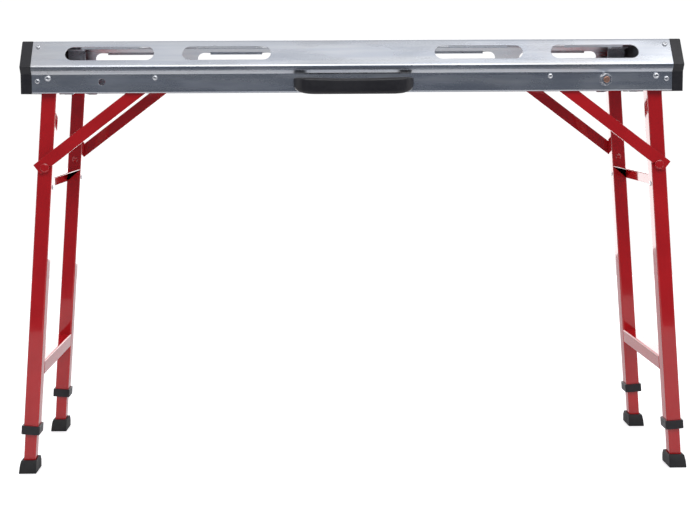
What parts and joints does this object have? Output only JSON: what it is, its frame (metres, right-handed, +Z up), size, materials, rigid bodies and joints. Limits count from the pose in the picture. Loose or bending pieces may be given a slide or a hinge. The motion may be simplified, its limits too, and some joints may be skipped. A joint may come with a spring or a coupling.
{
  "type": "work platform bench",
  "caption": "Folding work platform bench: metal deck with grip slots, carrying handle, end caps, and splayed red folding leg frames with stays and telescopic feet.",
  "frame": {"origin": "middle of the whole bench's outline, on the floor", "axes": "+X along the deck, +Y across it away from the carrying handle, +Z up"},
  "size_m": [1.1424, 0.3382, 0.732],
  "materials": {
    "zinc_plated_sheet": "smooth zinc-plated sheet steel, satin to bright",
    "bright_steel": "bright zinc-plated fasteners",
    "copper_plating": "yellow passivated bolt, copper coloured",
    "red_paint": "glossy red powder coat",
    "black_plastic": "satin moulded plastic",
    "foot_rubber": "matte moulded rubber"
  },
  "bodies": {
    "deck": {"deck_plate": "zinc_plated_sheet", "deck_skirt_front": "zinc_plated_sheet", "deck_skirt_back": "zinc_plated_sheet", "side_rail_front": "zinc_plated_sheet", "side_rail_back": "zinc_plated_sheet", "end_cap_left": "black_plastic", "end_cap_right": "black_plastic", "carrying_handle": "black_plastic", "handle_screw_left": "bright_steel", "handle_screw_right": "bright_steel", "accessory_bolt": "copper_plating", "accessory_nut": "bright_steel", "leg_bracket_front_left": "zinc_plated_sheet", "leg_pivot_front_left": "bright_steel", "stay_rivet_front_left": "bright_steel", "cap_screw_low_front_left": "bright_steel", "cap_screw_high_front_left": "bright_steel", "leg_bracket_front_right": "zinc_plated_sheet", "leg_pivot_front_right": "bright_steel", "stay_rivet_front_right": "bright_steel", "cap_screw_low_front_right": "bright_steel", "cap_screw_high_front_right": "bright_steel", "leg_bracket_back_left": "zinc_plated_sheet", "leg_pivot_back_left": "bright_steel", "stay_rivet_back_left": "bright_steel", "cap_screw_low_back_left": "bright_steel", "cap_screw_high_back_left": "bright_steel", "leg_bracket_back_right": "zinc_plated_sheet", "leg_pivot_back_right": "bright_steel", "stay_rivet_back_right": "bright_steel", "cap_screw_low_back_right": "bright_steel", "cap_screw_high_back_right": "bright_steel"},
    "left_frame": {"upper_rung_left": "red_paint", "lower_rung_left": "red_paint", "outer_leg_front_left": "red_paint", "leg_collar_front_left": "black_plastic", "outer_leg_back_left": "red_paint", "leg_collar_back_left": "black_plastic"},
    "left_stays": {"stay_front_left": "red_paint", "stay_stud_front_left": "red_paint", "stay_back_left": "red_paint", "stay_stud_back_left": "red_paint"},
    "right_frame": {"upper_rung_right": "red_paint", "lower_rung_right": "red_paint", "outer_leg_front_right": "red_paint", "leg_collar_front_right": "black_plastic", "outer_leg_back_right": "red_paint", "leg_collar_back_right": "black_plastic"},
    "right_stays": {"stay_front_right": "red_paint", "stay_stud_front_right": "red_paint", "stay_back_right": "red_paint", "stay_stud_back_right": "red_paint"},
    "front_left_foot": {"inner_leg_front_left": "red_paint", "foot_front_left": "foot_rubber"},
    "front_right_foot": {"inner_leg_front_right": "red_paint", "foot_front_right": "foot_rubber"},
    "back_left_foot": {"inner_leg_back_left": "red_paint", "foot_back_left": "foot_rubber"},
    "back_right_foot": {"inner_leg_back_right": "red_paint", "foot_back_right": "foot_rubber"}
  },
  "joints": [
    {"name": "left_frame_fold", "type": "hinge", "parent": "deck", "child": "left_frame", "pos_m": [-0.5047, 0.01885, 0.6702], "axis": [0, -1, 0], "range_deg": [0, 94.4]},
    {"name": "right_frame_fold", "type": "hinge", "parent": "deck", "child": "right_frame", "pos_m": [0.5047, 0.01885, 0.6702], "axis": [0, 1, 0], "range_deg": [0, 85.4]},
    {"name": "left_stays_fold", "type": "hinge", "parent": "deck", "child": "left_stays", "pos_m": [-0.328, 0.01885, 0.6703], "axis": [0, -1, 0], "range_deg": [0, 141.5]},
    {"name": "right_stays_fold", "type": "hinge", "parent": "deck", "child": "right_stays", "pos_m": [0.328, 0.01885, 0.6703], "axis": [0, 1, 0], "range_deg": [0, 123.9]},
    {"name": "front_left_leg_slide", "type": "slide", "parent": "left_frame", "child": "front_left_foot", "axis": [-0.0767, 0, -0.9971], "range_m": [0, 0.05]},
    {"name": "front_right_leg_slide", "type": "slide", "parent": "right_frame", "child": "front_right_foot", "axis": [0.0767, 0, -0.9971], "range_m": [0, 0.05]},
    {"name": "back_left_leg_slide", "type": "slide", "parent": "left_frame", "child": "back_left_foot", "axis": [-0.0767, 0, -0.9971], "range_m": [0, 0.05]},
    {"name": "back_right_leg_slide", "type": "slide", "parent": "right_frame", "child": "back_right_foot", "axis": [0.0767, 0, -0.9971], "range_m": [0, 0.05]}
  ],
  "couplings": [
    {"joint": "left_stays_fold", "follows": "left_frame_fold", "ratio": 1.498},
    {"joint": "right_stays_fold", "follows": "right_frame_fold", "ratio": 1.45}
  ]
}
